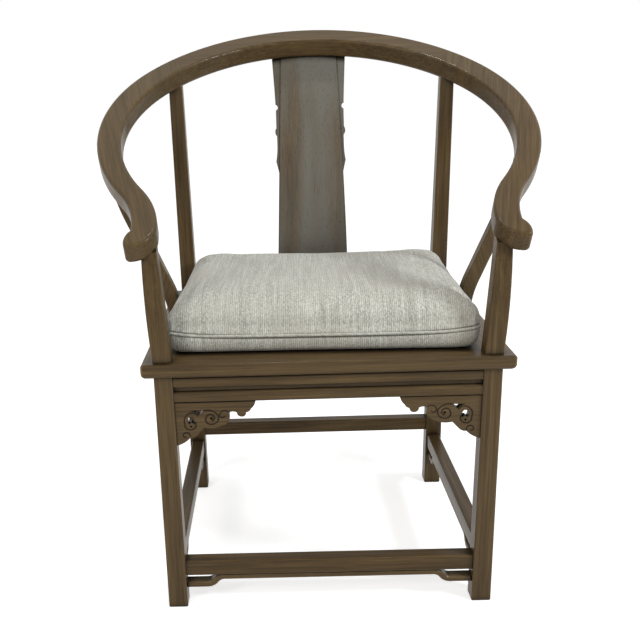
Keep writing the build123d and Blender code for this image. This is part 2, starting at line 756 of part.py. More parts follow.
with BuildPart() as front_bracket_right:
    with BuildSketch(bracket_plane):
        # cloud-head tip, neck, big scroll and the foot that runs down the leg
        with BuildLine():
            Line(on_bracket(0, 1), on_bracket(0, 0))
            Line(on_bracket(0, 0), on_bracket(1, 0))
            scroll(
                (1, 0), (0.981, 0.086), (0.94, 0.171),
                (0.914, 0.23), (0.877, 0.25), (0.869, 0.316),
                (0.828, 0.349), (0.787, 0.329), (0.765, 0.25),
                (0.716, 0.224), (0.664, 0.25), (0.66, 0.447),
                (0.575, 0.553), (0.485, 0.605), (0.351, 0.599),
                (0.313, 0.671), (0.276, 0.737), (0.231, 0.803),
                (0.172, 0.822), (0.112, 0.914), (0, 1),
            )
        make_face()
        # opening under the rail, and the eye of the hook beside the leg
        with BuildLine():
            Line(on_bracket(0.343, 0.184), on_bracket(0.187, 0.184))
            scroll((0.187, 0.184), (0.239, 0.217), (0.284, 0.283), (0.321, 0.25), (0.343, 0.184))
        make_face(mode=Mode.SUBTRACT)
        with BuildLine():
            scroll(
                (0.231, 0.382), (0.19, 0.329), (0.153, 0.408),
                (0.157, 0.461), (0.172, 0.5), (0.201, 0.461),
                (0.228, 0.507), (0.239, 0.447), (0.231, 0.382),
            )
        make_face(mode=Mode.SUBTRACT)
        with Locations(on_bracket(0.448, 0.375)):
            Circle(big_eye_radius, mode=Mode.SUBTRACT)
        with Locations(on_bracket(0.19, 0.553)):
            Circle(small_eye_radius, mode=Mode.SUBTRACT)
    extrude(amount=bracket_thick)
    with BuildSketch(bracket_plane.offset(bracket_thick)):
        with BuildLine() as hook:
            scroll(
                (0.284, 0.309), (0.224, 0.237), (0.164, 0.257),
                (0.116, 0.355), (0.116, 0.487), (0.149, 0.618),
                (0.216, 0.612), (0.25, 0.546), (0.243, 0.447),
            )
        trace(hook.line, line_width=groove_width)
        with BuildLine() as coil:
            scroll(
                (0.358, 0.184), (0.448, 0.191), (0.526, 0.289),
                (0.522, 0.441), (0.448, 0.507), (0.381, 0.447),
                (0.384, 0.342), (0.433, 0.276), (0.481, 0.329),
                (0.481, 0.395), (0.448, 0.428),
            )
        trace(coil.line, line_width=groove_width)
        with BuildLine() as curl:
            scroll((0.664, 0.237), (0.597, 0.204), (0.556, 0.263), (0.567, 0.349), (0.616, 0.322))
        trace(curl.line, line_width=groove_width)
        with BuildLine() as leaf:
            scroll((0.172, 0.789), (0.157, 0.711), (0.104, 0.704), (0.086, 0.77), (0.123, 0.803))
        trace(leaf.line, line_width=groove_width)
    extrude(amount=-groove_depth, mode=Mode.SUBTRACT)
    bracket_tongue(0, Mode.ADD)
    split(bisect_by=Plane.YZ, keep=Keep.TOP)
save_pair(front_bracket_right.part, "front_bracket")


# ---------------------------------------------------------------- stretchers and humpback rails
def hump_profile(half):
    """Front view of a humpback rail: level at both ends, raised between, half as long as given."""
    level_end = half - hump_end - hump_step
    step_turn = degrees(2 * atan(hump_drop / hump_step))
    step_radius = hump_step / 2 / sin(radians(step_turn))
    with BuildSketch(Plane.XZ) as profile:
        with BuildLine() as middle_line:
            Line((0, 0), (level_end, 0))
            fall = JernArc((level_end, 0), (1, 0), step_radius, -step_turn)
            rise = JernArc(fall @ 1, fall % 1, step_radius, step_turn)
            Line(rise @ 1, (half, -hump_drop))
        trace(middle_line.line, line_width=hump_thick)
        mirror(about=Plane.YZ)
    return profile.sketch


front_stretcher = cross_member(
    front_stretcher_size, front_leg_inside, front_stretcher_y, stretcher_depth, stretcher_edge
)
save(front_stretcher, "front_stretcher")
rear_stretcher = cross_member(
    rear_stretcher_size, rear_leg_inside, back_stretcher_y, stretcher_depth, stretcher_edge
)
save(rear_stretcher, "rear_stretcher")
side_stretcher = side_member(
    side_stretcher_size, side_stretcher_x, stretcher_depth, stretcher_edge, side_shoulder_y
)
save_pair(side_stretcher, "side_stretcher")


def humpback(half, place):
    """Humpback rail half as long as given, placed by its middle, cut to the front leg, with tenons."""
    with BuildPart() as body:
        extrude(hump_profile(half), amount=hump_depth / 2, both=True)
        chamfer(body.edges().filter_by(Plane.XZ), hump_edge)
    with BuildPart() as placed:
        with Locations(place):
            add(body.part)
        add(front_leg_blank, mode=Mode.SUBTRACT)
        tenon_middle = half + tenon_length - hump_end / 2
        with Locations(place):
            with Locations((tenon_middle, 0, -hump_drop), (-tenon_middle, 0, -hump_drop)):
                Box(hump_end, tenon_thick, hump_thick - 2 * hump_shoulder)
    return placed.part


front_hump_place = Location((0, front_stretcher_y, front_stretcher_z - hump_thick / 2))
save(humpback(front_leg_inside, front_hump_place), "front_humpback")

side_middle_y = (side_shoulder_y + rear_y) / 2
side_hump_place = Location((side_stretcher_x, side_middle_y, side_stretcher_z - hump_thick / 2), (0, 0, 90))
save_pair(humpback((rear_y - side_shoulder_y) / 2, side_hump_place), "side_humpback")


# ---------------------------------------------------------------- crest rail, cut into its lengths
def crest_sector(half_angle):
    """Wedge-shaped area that holds the middle of the crest, out to half an angle on each side."""
    reach = crest_radius + crest_reach
    side_x = reach * sin(radians(half_angle))
    side_y = reach * cos(radians(half_angle))
    with BuildSketch(rail_plane) as sector:
        with Locations((0, scarf_centre)):
            Polygon((0, 0), (side_x, side_y), (-side_x, side_y), align=None)
    return sector.sketch


with BuildPart() as crest_zone:
    extrude(crest_sector(scarf_place + scarf_half), amount=rail_thick)
    extrude(crest_sector(scarf_place - scarf_half), amount=-rail_thick)

with BuildPart() as wedge_bar:
    with BuildSketch(rail_plane.offset(-wedge_side / 2)):
        with Locations(Location((0, scarf_centre, 0), (0, 0, -scarf_place))):
            with Locations((0, crest_radius + rail_width / 2)):
                Rectangle(wedge_side, 2 * wedge_length)
    extrude(amount=wedge_side)

with BuildPart() as rail_wedge_right:
    add(rail.part)
    add(wedge_bar.part, mode=Mode.INTERSECT)
save_pair(rail_wedge_right.part, "rail_wedge")

with BuildPart() as post_mortises:
    head_tenon(front_head_x, front_head_y, joint_gap)
    head_tenon(rear_head_x, rear_y + rear_top_side / 2, joint_gap)
    head_tenon(side_post_head_x, side_post_y, joint_gap)
    mirror(about=Plane.YZ)

with BuildPart() as jointed_rail:
    add(rail.part)
    add(post_mortises.part, mode=Mode.SUBTRACT)
    add(splat_tongues(joint_gap), mode=Mode.SUBTRACT)
    add(both_sides(rail_wedge_right.part), mode=Mode.SUBTRACT)

with BuildPart() as crest_rail:
    add(jointed_rail.part)
    add(crest_zone.part, mode=Mode.INTERSECT)
save(crest_rail.part, "crest_rail")

with BuildPart() as arm_rail_right:
    add(jointed_rail.part)
    add(crest_zone.part, mode=Mode.SUBTRACT)
    split(bisect_by=Plane.YZ, keep=Keep.TOP)
save_pair(arm_rail_right.part, "arm_rail")


# ---------------------------------------------------------------- seat cushion
with BuildPart() as seat_cushion:
    with BuildSketch(Plane.XY.offset(seat_top + cushion_clear)) as cushion_plan:
        with BuildLine():
            front_half = side_post_foot_x - side_post / 2 - cushion_side_clear
            back_half = front_half - cushion_taper
            cushion_front_y = front_y + front_leg_neck + cushion_front_clear
            cushion_back_y = rear_y - cushion_back_clear
            Polyline(
                (-front_half, cushion_front_y),
                (front_half, cushion_front_y),
                (back_half, cushion_back_y),
                (-back_half, cushion_back_y),
                close=True,
            )
        make_face()
        fillet(cushion_plan.vertices(), cushion_corner)
    extrude(amount=cushion_thick)
    fillet(seat_cushion.faces().sort_by(Axis.Z)[-1].edges(), cushion_crown)
    chamfer(seat_cushion.faces().sort_by(Axis.Z)[0].edges(), cushion_under)
save(seat_cushion.part, "seat_cushion")
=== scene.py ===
import bmesh
import bpy
import math
import numpy as np
from mathutils import Matrix, Vector
from mathutils.bvhtree import BVHTree


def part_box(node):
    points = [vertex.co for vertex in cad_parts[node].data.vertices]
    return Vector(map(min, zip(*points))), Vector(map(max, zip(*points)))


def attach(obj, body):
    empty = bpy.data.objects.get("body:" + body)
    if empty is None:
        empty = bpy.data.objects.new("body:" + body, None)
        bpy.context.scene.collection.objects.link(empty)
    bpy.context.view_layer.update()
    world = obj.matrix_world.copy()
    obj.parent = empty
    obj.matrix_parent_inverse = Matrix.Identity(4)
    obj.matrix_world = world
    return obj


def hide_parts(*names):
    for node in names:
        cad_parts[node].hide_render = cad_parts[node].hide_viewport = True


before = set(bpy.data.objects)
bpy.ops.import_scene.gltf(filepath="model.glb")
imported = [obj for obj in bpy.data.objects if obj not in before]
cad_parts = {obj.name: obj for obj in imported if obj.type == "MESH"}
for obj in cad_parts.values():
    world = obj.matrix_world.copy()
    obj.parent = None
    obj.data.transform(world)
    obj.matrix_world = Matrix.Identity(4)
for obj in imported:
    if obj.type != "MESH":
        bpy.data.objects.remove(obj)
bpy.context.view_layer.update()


# ================================================================ legs, and the posts above them
# Four square walnut legs. Each is one length of wood that runs up through the seat and goes on as a
# post to the crest rail. The wood is stained olive-brown under satin lacquer. Its edges are painted
# lighter, partly as rubbed wear and partly as a painted highlight, and painted shade darkens the corners.
def new_group(name, inputs, outputs):
    """Empty shader node group with named sockets. Each input is given as (name, type, default)."""
    group = bpy.data.node_groups.new(name, "ShaderNodeTree")
    for label, kind, value in inputs:
        socket = group.interface.new_socket(label, in_out="INPUT", socket_type=kind)
        if value is not None:
            socket.default_value = value
    for label, kind in outputs:
        group.interface.new_socket(label, in_out="OUTPUT", socket_type=kind)
    return group, group.nodes.new("NodeGroupInput"), group.nodes.new("NodeGroupOutput")


def add_node(tree, kind, links=None, **settings):
    """Node of a kind, its properties and input values set, and its inputs linked from other sockets."""
    node = tree.nodes.new(kind)
    for key, value in settings.items():
        if hasattr(node, key):
            setattr(node, key, value)
        else:
            node.inputs[key.replace("_", " ")].default_value = value
    for key, socket in (links or {}).items():
        tree.links.new(socket, node.inputs[key])
    return node


def remap(tree, value, low, high, to_low=0.0, to_high=1.0):
    """A value socket brought from one range to another and kept inside it."""
    return add_node(
        tree, "ShaderNodeMapRange", {0: value},
        **{"From Min": low, "From Max": high, "To Min": to_low, "To Max": to_high},
    ).outputs[0]


def colour_ramp(tree, factor, *stops):
    """Colour ramp through stops given as (place, colour)."""
    node = add_node(tree, "ShaderNodeValToRGB", {0: factor})
    elements = node.color_ramp.elements
    while len(elements) < len(stops):
        elements.new(0.5)
    for element, (place, colour) in zip(elements, stops):
        element.position = place
        element.color = (*colour, 1.0)
    return node.outputs[0]


def mix_colour(tree, factor, first, second):
    """Mix of two colours or colour sockets by a factor socket."""
    node = tree.nodes.new("ShaderNodeMix")
    node.data_type = "RGBA"
    for index, value in ((0, factor), (6, first), (7, second)):
        if isinstance(value, bpy.types.NodeSocket):
            tree.links.new(value, node.inputs[index])
        else:
            node.inputs[index].default_value = (*value, 1.0)
    return node.outputs[2]


FIGURE_DRAWN_OUT = 0.07        # the figure's pattern along the grain, as a share of that across it
PORES_DRAWN_OUT = 0.02
PORE_STRENGTH = 0.45
FINE_FIGURE = 26.0             # scale of the figure on the narrow pieces
WIDE_FIGURE = 16.0             # on the splat
PLAIN_FIGURE = 14.0            # on the seat panel


def grain_group():
    """Wood grain along Z: wide flowing figure, fine dark pores, cloudy stain, and a height for relief."""
    group, given, out = new_group(
        "wood_grain",
        [("Vector", "NodeSocketVector", None), ("Figure scale", "NodeSocketFloat", FINE_FIGURE)],
        [(name, "NodeSocketFloat") for name in ("Figure", "Pores", "Cloud", "Height")],
    )
    vector = given.outputs["Vector"]
    drawn_out = add_node(
        group, "ShaderNodeMapping", {0: vector}, Scale=(1.0, 1.0, FIGURE_DRAWN_OUT)
    ).outputs[0]
    fine = add_node(group, "ShaderNodeMapping", {0: vector}, Scale=(1.0, 1.0, PORES_DRAWN_OUT)).outputs[0]
    wide = add_node(
        group, "ShaderNodeTexNoise", {"Vector": drawn_out, "Scale": given.outputs["Figure scale"]},
        Detail=5.0, Roughness=0.62, Distortion=1.2,
    ).outputs[0]
    streaks = add_node(
        group, "ShaderNodeTexNoise", {"Vector": fine}, Scale=260.0, Detail=3.0, Roughness=0.7
    ).outputs[0]
    pore_noise = add_node(
        group, "ShaderNodeTexNoise", {"Vector": fine}, Scale=900.0, Detail=1.0, Roughness=0.5
    ).outputs[0]
    pores = remap(group, pore_noise, 0.60, 0.74, 0.0, PORE_STRENGTH)
    cloud = add_node(
        group, "ShaderNodeTexNoise", {"Vector": drawn_out}, Scale=7.0, Detail=3.0, Roughness=0.6
    ).outputs[0]
    both = add_node(group, "ShaderNodeMath", {0: wide, 1: streaks}, operation="ADD").outputs[0]
    figure = remap(group, both, 0.0, 2.0)
    height = add_node(group, "ShaderNodeMath", {0: figure, 1: pores}, operation="SUBTRACT").outputs[0]
    for name, socket in (("Figure", figure), ("Pores", pores), ("Cloud", cloud), ("Height", height)):
        group.links.new(socket, out.inputs[name])
    return group


RUBBED_AND_HIGHLIT_REACH = 0.004           # how far from an edge the lighter tint of rubbing and painted highlight goes


def edge_tint_group():
    """Mask of the tinted edges, lighter for rubbing with a painted highlight, darker for glaze with painted
    shade: where a wide bevel's normal leaves the surface's own, broken by noise.
    """
    group, given, out = new_group(
        "edge_tint_mask",
        [("Vector", "NodeSocketVector", None), ("Reach", "NodeSocketFloat", RUBBED_AND_HIGHLIT_REACH)],
        [("Edge", "NodeSocketFloat")],
    )
    bevel = add_node(group, "ShaderNodeBevel", {"Radius": given.outputs["Reach"]}, samples=6)
    normal = add_node(group, "ShaderNodeNewGeometry").outputs["Normal"]
    dot = add_node(
        group, "ShaderNodeVectorMath", {0: bevel.outputs[0], 1: normal}, operation="DOT_PRODUCT"
    )
    mask = remap(group, dot.outputs["Value"], 0.99, 0.90)
    broken = add_node(
        group, "ShaderNodeTexNoise", {"Vector": given.outputs["Vector"]}, Scale=38.0, Detail=4.0
    ).outputs[0]
    kept = remap(group, broken, 0.36, 0.62, 0.15, 1.0)
    edge = add_node(group, "ShaderNodeMath", {0: mask, 1: kept}, operation="MULTIPLY").outputs[0]
    group.links.new(edge, out.inputs["Edge"])
    return group


PAINTED_SHADE_REACH = 0.014            # how near a surface must be for painted shade to fall beside it


def painted_shade_group():
    """Mask of painted shade in corners, grooves and joints: the share of nearby air they don't see."""
    group, given, out = new_group(
        "painted_corner_shade", [("Reach", "NodeSocketFloat", PAINTED_SHADE_REACH)], [("Corner shade", "NodeSocketFloat")]
    )
    open_air = add_node(
        group, "ShaderNodeAmbientOcclusion", {"Distance": given.outputs["Reach"]}, samples=8
    ).outputs["AO"]
    group.links.new(remap(group, open_air, 0.92, 0.42), out.inputs["Corner shade"])
    return group


wood_grain = grain_group()
edge_tint_mask = edge_tint_group()
painted_corner_shade = painted_shade_group()
DARK_GRAIN = (0.052, 0.031, 0.012)
MID_GRAIN = (0.084, 0.051, 0.020)
PALE_GRAIN = (0.124, 0.078, 0.032)
PORE_BROWN = (0.024, 0.015, 0.007)
OLIVE_CLOUD = (0.098, 0.071, 0.034)
# Grey clouding for the splat: a painted sheen
GREY_SHEEN_CLOUD = (0.150, 0.140, 0.118)
# Lighter edge colour: rubbed wear with a painted highlight along the edges
RUBBED_AND_HIGHLIT_WOOD = (0.290, 0.205, 0.110)
# Near-black for painted shade in corners and carving, and for dark glaze in joints
GLAZE_AND_PAINTED_SHADE = (0.012, 0.008, 0.004)

# What an edge is tinted with, how strongly, and how far to both sides
# Rubbed edges, lighter: wear with a painted highlight
RUBBED_AND_HIGHLIT_EDGE = (RUBBED_AND_HIGHLIT_WOOD, 0.6, RUBBED_AND_HIGHLIT_REACH)
GLAZED_JOINT = (GLAZE_AND_PAINTED_SHADE, 0.35, 0.0015)
# Carving and sawn outlines darkened: dark glaze with painted shade in the cuts
GLAZED_AND_SHADED_CARVING = (GLAZE_AND_PAINTED_SHADE, 0.9, 0.0028)

# Which way the grain runs, in degrees about X, Y and Z from upright
UPRIGHT = (0, 0, 0)
ACROSS = (0, 90, 0)
FRONT_TO_BACK = (90, 0, 0)


def walnut(
    name, turn=UPRIGHT, shift=(0, 0, 0), cloud=0.25, cloud_colour=OLIVE_CLOUD,
    figure_scale=FINE_FIGURE, edge=RUBBED_AND_HIGHLIT_EDGE,
):
    """Stained walnut under satin lacquer, with its grain turned one way and its pattern shifted.

    The stain is clouded by a share of a second colour, and the edges take a tint: rubbing with a
    painted highlight lightens them, glaze with painted shade darkens them.
    """
    material = bpy.data.materials.new(name)
    material.use_nodes = True
    tree = material.node_tree
    shader = tree.nodes["Principled BSDF"]
    place = add_node(tree, "ShaderNodeTexCoord").outputs["Object"]
    along_grain = add_node(
        tree, "ShaderNodeMapping", {0: place}, vector_type="TEXTURE", Location=shift,
        Rotation=tuple(math.radians(angle) for angle in turn),
    ).outputs[0]
    grain = add_node(tree, "ShaderNodeGroup", node_tree=wood_grain)
    grain.inputs["Figure scale"].default_value = figure_scale
    tree.links.new(along_grain, grain.inputs["Vector"])
    edge_tint = add_node(tree, "ShaderNodeGroup", node_tree=edge_tint_mask)
    tree.links.new(place, edge_tint.inputs["Vector"])
    edge_colour, edge_share, edge_tint.inputs["Reach"].default_value = edge
    corner_shade = add_node(tree, "ShaderNodeGroup", node_tree=painted_corner_shade).outputs["Corner shade"]
    stain = colour_ramp(
        tree, grain.outputs["Figure"], (0.40, DARK_GRAIN), (0.50, MID_GRAIN), (0.61, PALE_GRAIN)
    )
    clouded = mix_colour(
        tree, remap(tree, grain.outputs["Cloud"], 0.35, 0.7, 0.0, 2 * cloud), stain, cloud_colour
    )
    pored = mix_colour(tree, grain.outputs["Pores"], clouded, PORE_BROWN)
    edged = mix_colour(
        # Edge tint: a rubbed edge with a painted highlight is lighter; a glazed edge with painted shade is
        # darker
        tree, remap(tree, edge_tint.outputs["Edge"], 0.0, 1.0, 0.0, edge_share), pored, edge_colour
    )
    # Painted shade: the corner mask darkens the colour towards near-black in corners, joints and recesses
    tree.links.new(mix_colour(tree, corner_shade, edged, GLAZE_AND_PAINTED_SHADE), shader.inputs["Base Color"])
    tree.links.new(remap(tree, grain.outputs["Figure"], 0.3, 0.7, 0.42, 0.30), shader.inputs["Roughness"])
    bump = add_node(
        tree, "ShaderNodeBump", {"Height": grain.outputs["Height"]}, Strength=0.18, Distance=0.0005
    )
    tree.links.new(bump.outputs[0], shader.inputs["Normal"])
    shader.inputs["Specular IOR Level"].default_value = 0.08
    shader.inputs["Coat Weight"].default_value = 0.14
    shader.inputs["Coat Roughness"].default_value = 0.17
    return material


def dress(material, *names):
    """Gives CAD nodes a material."""
    for name in names:
        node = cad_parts[name]
        node.data.materials.clear()
        node.data.materials.append(material)


for leg, leg_shift in (
    ("front_leg_left", (0, 0, 0)),
    ("front_leg_right", (0.7, 0.3, 0.1)),
    ("rear_leg_left", (1.3, 0.2, 0.5)),
    ("rear_leg_right", (2.1, 1.2, 0.8)),
):
    dress(walnut("walnut_" + leg, shift=leg_shift), leg)


# ================================================================ stretchers and humpback rails
# Rails tenoned between the legs a hand's height off the floor, the side ones higher than the front
# one and the rear one higher still. A thin humpback rail sawn to shape runs under all but the rear.
across_wood = walnut("walnut_across", turn=ACROSS)
side_wood = walnut("walnut_front_to_back", turn=FRONT_TO_BACK, shift=(0.4, 0.9, 0.2))
dress(across_wood, "front_stretcher", "rear_stretcher")
dress(walnut("walnut_front_humpback", turn=ACROSS, shift=(0.2, 1.7, 0.9)), "front_humpback")
dress(side_wood, "side_stretcher_left", "side_stretcher_right", "side_humpback_left", "side_humpback_right")


# ================================================================ seat frame and the rails under it
# Four wide members mitred round the legs, and below them twin rails with a narrow recess between.
# The panel inside the frame is plainer wood with a more even stain, and two battens stiffen it.
seat_wood = walnut("walnut_seat_across", turn=ACROSS, shift=(0.9, 2.3, 0.4))
upper_rail_wood = walnut("walnut_upper_rail", turn=ACROSS, shift=(1.9, 0.3, 1.4))
lower_rail_wood = walnut("walnut_lower_rail", turn=ACROSS, shift=(2.9, 1.3, 0.4))
panel_wood = walnut("walnut_panel", turn=FRONT_TO_BACK, cloud=0.1, figure_scale=PLAIN_FIGURE)
dress(seat_wood, "seat_frame_front", "seat_frame_back")
dress(upper_rail_wood, "front_upper_rail", "back_upper_rail")
dress(lower_rail_wood, "front_lower_rail", "back_lower_rail")
dress(panel_wood, "seat_panel")
for side in ("left", "right"):
    dress(
        side_wood, "seat_frame_" + side, "side_upper_rail_" + side, "side_lower_rail_" + side,
        "seat_batten_" + side,
    )


# ================================================================ corner brackets
# Two brackets sawn from thin board, pierced, and carved on the face with cloud scrolls. Dark glaze
# with painted shade darkens the cuts and the sawn outline.
carved_wood = walnut("walnut_bracket", turn=ACROSS, shift=(0.3, 0.6, 1.1), edge=GLAZED_AND_SHADED_CARVING)
dress(carved_wood, "front_bracket_left", "front_bracket_right")


# ================================================================ crest rail
# Three lengths sawn in curves from thick plank and scarfed together, so the grain of each one runs
# straight along its own chord and out of the curved sides. The scarf joints show as faint dark lines.
RAIL_SLOPE = 28.4              # degrees that the rail falls towards the front
ARM_CHORD = 14.0               # degrees that each arm's chord turns from straight forward
for length, wood, length_turn, length_shift in (
    ("crest_rail", "walnut_crest", ACROSS, (0.5, 0.1, 0.6)),
    ("arm_rail_left", "walnut_arm_left", (RAIL_SLOPE - 90, 0, ARM_CHORD), (0.2, 0.8, 0.1)),
    ("arm_rail_right", "walnut_arm_right", (RAIL_SLOPE - 90, 0, -ARM_CHORD), (1.2, 0.4, 0.7)),
):
    dress(walnut(wood, turn=length_turn, shift=length_shift, edge=GLAZED_JOINT), length)
dress(across_wood, "rail_wedge_left", "rail_wedge_right")


# ================================================================ side posts, splat and its flanges
# Side posts sawn to a sickle curve, and a wide board bent to the sitter's back. The flanges on the
# board's edges are sawn to a lobed outline. The splat is clouded grey with a painted sheen.
POST_LEAN = 18.0               # degrees that each side post leans out
SPLAT_LEAN = 12.0              # degrees that the splat leans back
dress(walnut("walnut_side_post_left", turn=(0, POST_LEAN, 0), shift=(0.6, 0.1, 0.3)), "side_post_left")
dress(walnut("walnut_side_post_right", turn=(0, -POST_LEAN, 0), shift=(1.6, 0.2, 0.9)), "side_post_right")
# The splat's edges and flange joints are darkened with glaze and painted shade
splat_wood = walnut(
    "walnut_splat", turn=(-SPLAT_LEAN, 0, 0), cloud=0.9, cloud_colour=GREY_SHEEN_CLOUD,
    figure_scale=WIDE_FIGURE, edge=GLAZED_AND_SHADED_CARVING,
)
dress(splat_wood, "back_splat", "splat_flange_left", "splat_flange_right")


# ================================================================ seat cushion
# A loose cushion: a soft filling in a cover of ribbed cloth. The crowned top wraps over the sides to
# one welt cord in the seam, and below the seam a low band turns in to the flat underside.
cushion_low, cushion_high = (np.array(corner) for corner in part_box("seat_cushion"))
cushion_middle = (cushion_low + cushion_high) / 2
cushion_half = (cushion_high - cushion_low) / 2
SEAM_RISE = 0.0285            # height of the seam above the cushion's underside
SEAM_CORNER_RISE = 0.010      # how much higher the seam is at the corners
PLAN_POWER = 22.0             # how square the plan's corners are
SIDE_PULL = 0.004             # how far each side pulls in between its corners
BACK_NARROW = 0.004           # how much nearer each side is at the back
SIDE_BULGE = 0.005            # how far the top's sides stand out over the seam before it swells
FRONT_BULGE = 0.002
FRONT_WALL = (14.0, 2.4)      # powers of the top's roundness at the front: across, and upwards
BACK_WALL = (28.0, 4.0)
BAND_WALL = (40.0, 2.4)       # and of the band below the seam
CROWN = 0.06                  # share of the top's height that rises evenly to the middle
SWELL_ROOM = 0.004            # how much smaller the filling is before it swells
VOXEL = 0.0052
HELD_ABOVE_SEAM = 0.0035      # how far over the seam the cover is held while it swells
SWELL_PRESSURE = 4.0
SWELL_FRAMES = 20
SWELL_CAP = 0.007             # the furthest that a point may swell
SPREAD = (0.008, 0.002, 0.005)    # how far the cover stands past its solid: sideways, forwards and up
TWIST = math.radians(-1.8)    # how far it lies out of square on the seat
UNDERSIDE_CLEAR = 0.0004


def cushion_plan(angle):
    """Outline of the cushion, a superellipse whose sides pull in between the corners.

    x and y are the signed powers 2/n of the angle's cosine and sine, each times its half size. A
    cosine along each side pulls it in, and the half width shrinks in line with y towards the back.
    """
    x = np.sign(np.cos(angle)) * np.abs(np.cos(angle)) ** (2 / PLAN_POWER)
    y = np.sign(np.sin(angle)) * np.abs(np.sin(angle)) ** (2 / PLAN_POWER)
    width = cushion_half[0] - BACK_NARROW * (y + 1) / 2 - SIDE_PULL * np.cos(y * np.pi / 2)
    depth = cushion_half[1] - SIDE_PULL * np.cos(x * np.pi / 2)
    return width * x, depth * y


def seam_height(x):
    """Height of the seam at x: level in the middle, and rising with its fourth power to the corners."""
    return cushion_low[2] + SEAM_RISE + SEAM_CORNER_RISE * ((x - cushion_middle[0]) / cushion_half[0]) ** 4


def grid_mesh(name, points, close_rows=False, close_columns=False):
    """Piece made of the quads of a grid of points, with its rows or columns joined end to end."""
    rows, columns = points.shape[:2]
    index = np.arange(rows * columns).reshape(rows, columns)
    if close_rows:
        index = np.vstack([index, index[:1]])
    if close_columns:
        index = np.hstack([index, index[:, :1]])
    quads = np.stack([index[:-1, :-1], index[:-1, 1:], index[1:, 1:], index[1:, :-1]], axis=-1)
    mesh = bpy.data.meshes.new(name)
    mesh.from_pydata(points.reshape(-1, 3).tolist(), [], quads.reshape(-1, 4).tolist())
    piece = bpy.data.objects.new(name, mesh)
    bpy.context.collection.objects.link(piece)
    return piece


def close_up(piece):
    """Merges points that coincide, as those of a ring shrunk to a pole do, and turns faces outwards."""
    bm = bmesh.new()
    bm.from_mesh(piece.data)
    bmesh.ops.remove_doubles(bm, verts=bm.verts, dist=1e-6)
    bmesh.ops.recalc_face_normals(bm, faces=bm.faces)
    bm.to_mesh(piece.data)
    bm.free()


def filling(around=240, along=160):
    """Closed surface of the filling before it swells.

    Rings of the plan grow from the middle of the underside to the seam and shrink again to the middle
    of the top. A ring's size to the power p and its height to the power q add up to 1. Above the seam
    p and q go evenly from the front wall's to the back wall's, and the height takes the crown's share
    of 1 less the size squared instead. Halfway up the top's sides the rings also stand out by the
    bulge, as 4h(1 - h) of the height h.
    """
    angle = np.linspace(0, 2 * np.pi, around, endpoint=False)
    plan_x, plan_y = cushion_plan(angle)
    step = np.linspace(-1, 1, along)
    turn = np.pi / 2 * (1 - (1 - np.abs(step)) ** 3)
    upper = (step > 0)[:, None]
    towards_back = (1 + plan_y / cushion_half[1])[None, :] / 2
    top_power, rise_power = (
        front + (back - front) * towards_back for front, back in zip(FRONT_WALL, BACK_WALL)
    )
    turn = turn[:, None]
    size = np.cos(turn) ** (2 / np.where(upper, top_power, BAND_WALL[0]))
    size = np.where(np.abs(step)[:, None] == 1, 0.0, size)
    shrink_x = 1 - SWELL_ROOM / cushion_half[0]
    shrink_y = 1 - SWELL_ROOM / cushion_half[1]
    rise = np.sin(turn) ** (2 / rise_power)
    bulge = np.where(upper, 4 * rise * (1 - rise), 0.0)
    x = cushion_middle[0] + size * plan_x * (shrink_x + bulge * SIDE_BULGE / cushion_half[0])
    y = cushion_middle[1] + size * plan_y * (shrink_y + bulge * FRONT_BULGE / cushion_half[1])
    seam = seam_height(cushion_middle[0] + plan_x)[None, :]
    crown = (1 - CROWN) * rise + CROWN * (1 - size**2)
    above = seam + (cushion_high[2] - SWELL_ROOM - seam) * crown
    below = seam - (seam - cushion_low[2]) * np.sin(turn) ** (2 / BAND_WALL[1])
    z = np.where(upper, above, below)
    return grid_mesh("seat_cushion_cover", np.stack([x, y, z], axis=-1), close_columns=True)


def settle(piece, *modifiers, frames=1):
    """Adds modifiers given as (name, type, settings), steps through frames, and bakes the result."""
    for name, kind, settings in modifiers:
        modifier = piece.modifiers.new(name, kind)
        for key, value in settings.items():
            setattr(modifier, key, value)
    for number in range(1, frames + 1):
        bpy.context.scene.frame_set(number)
    shape = piece.evaluated_get(bpy.context.evaluated_depsgraph_get())
    mesh = bpy.data.meshes.new_from_object(shape)
    piece.modifiers.clear()
    piece.data = mesh


def read_points(mesh):
    """Vertex places and vertex normals of a mesh, each as an array of rows."""
    count = len(mesh.vertices)
    points = np.empty(count * 3)
    normals = np.empty(count * 3)
    mesh.vertices.foreach_get("co", points)
    mesh.vertex_normals.foreach_get("vector", normals)
    return points.reshape(-1, 3), normals.reshape(-1, 3)


def swell(piece):
    """Blows the filling up as cloth held below its seam, and caps how far each point moves."""
    start = read_points(piece.data)[0]
    band = np.nonzero(start[:, 2] < seam_height(start[:, 0]) + HELD_ABOVE_SEAM)[0]
    held = piece.vertex_groups.new(name="band")
    held.add(band.tolist(), 1.0, "REPLACE")
    cloth = piece.modifiers.new("swelling", "CLOTH")
    cloth.settings.quality = 5
    cloth.settings.mass = 0.3
    cloth.settings.tension_stiffness = 12.0
    cloth.settings.compression_stiffness = 12.0
    cloth.settings.bending_stiffness = 0.5
    cloth.settings.use_pressure = True
    cloth.settings.uniform_pressure_force = SWELL_PRESSURE
    cloth.settings.vertex_group_mass = "band"
    cloth.settings.effector_weights.gravity = 0.0
    cloth.point_cache.frame_start = 1
    cloth.point_cache.frame_end = SWELL_FRAMES
    settle(piece, frames=SWELL_FRAMES)
    bpy.context.scene.frame_set(1)
    move = read_points(piece.data)[0] - start
    length = np.linalg.norm(move, axis=1, keepdims=True)
    swollen = start + move * np.minimum(1.0, SWELL_CAP / np.maximum(length, 1e-9))
    piece.data.vertices.foreach_set("co", swollen.reshape(-1))
    piece.vertex_groups.clear()


